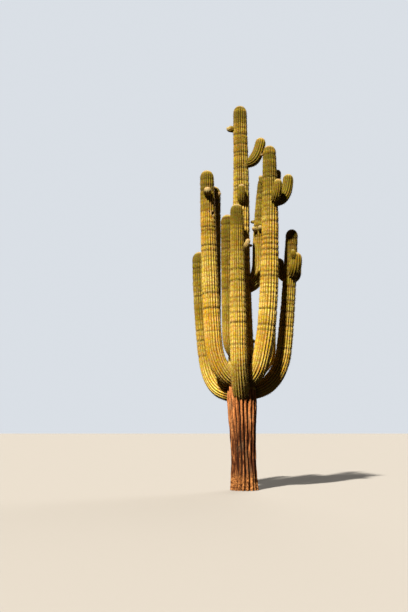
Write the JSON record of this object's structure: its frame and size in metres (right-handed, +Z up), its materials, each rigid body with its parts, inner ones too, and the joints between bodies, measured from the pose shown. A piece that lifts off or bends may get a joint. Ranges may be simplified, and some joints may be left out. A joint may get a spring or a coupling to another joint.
{
  "type": "saguaro cactus",
  "caption": "Tall old saguaro: a ribbed trunk with corky bark at its foot carries a candelabra of upright ribbed arms, side branches and young buds.",
  "frame": {"origin": "middle of the flat cut through the trunk at ground level", "axes": "+Z up along the trunk, +X to the right and +Y away from the viewer in the picture's view"},
  "size_m": [2.8753, 1.7478, 10.03],
  "materials": {
    "trunk_bark": "matt: reddish corky bark below the arms, olive spine-gilded skin above",
    "arm_skin": "matt olive-green waxy skin under golden spines",
    "young_skin": "matt pale olive skin under dense cream felt and spines"
  },
  "bodies": {
    "root": {"arm_back_left_column": "arm_skin", "arm_back_left_elbow": "arm_skin", "arm_back_right_column": "arm_skin", "arm_back_right_elbow": "arm_skin", "arm_front_column": "arm_skin", "arm_front_elbow": "arm_skin", "arm_left_front_column": "arm_skin", "arm_left_front_elbow": "arm_skin", "arm_left_inner_column": "arm_skin", "arm_left_inner_elbow": "arm_skin", "arm_left_middle_column": "arm_skin", "arm_left_middle_elbow": "arm_skin", "arm_left_outer_column": "arm_skin", "arm_left_outer_elbow": "arm_skin", "arm_right_front_column": "arm_skin", "arm_right_front_elbow": "arm_skin", "arm_right_inner_column": "arm_skin", "arm_right_inner_elbow": "arm_skin", "arm_right_outer_column": "arm_skin", "arm_right_outer_elbow": "arm_skin", "branch_front_near": "arm_skin", "branch_front_rear": "arm_skin", "branch_front_side": "arm_skin", "branch_outer_inner": "arm_skin", "branch_outer_near": "arm_skin", "branch_outer_side": "arm_skin", "branch_trunk_front": "arm_skin", "branch_trunk_right": "arm_skin", "bud_arm_front": "young_skin", "bud_front_high": "young_skin", "bud_front_inner": "young_skin", "bud_inner_left": "young_skin", "bud_inner_right": "young_skin", "bud_inner_side": "young_skin", "bud_left_front": "young_skin", "bud_left_middle": "young_skin", "bud_outer_near": "young_skin", "bud_trunk_left": "young_skin", "bud_trunk_low": "young_skin", "bud_trunk_side": "young_skin", "trunk": "trunk_bark"}
  },
  "joints": []
}
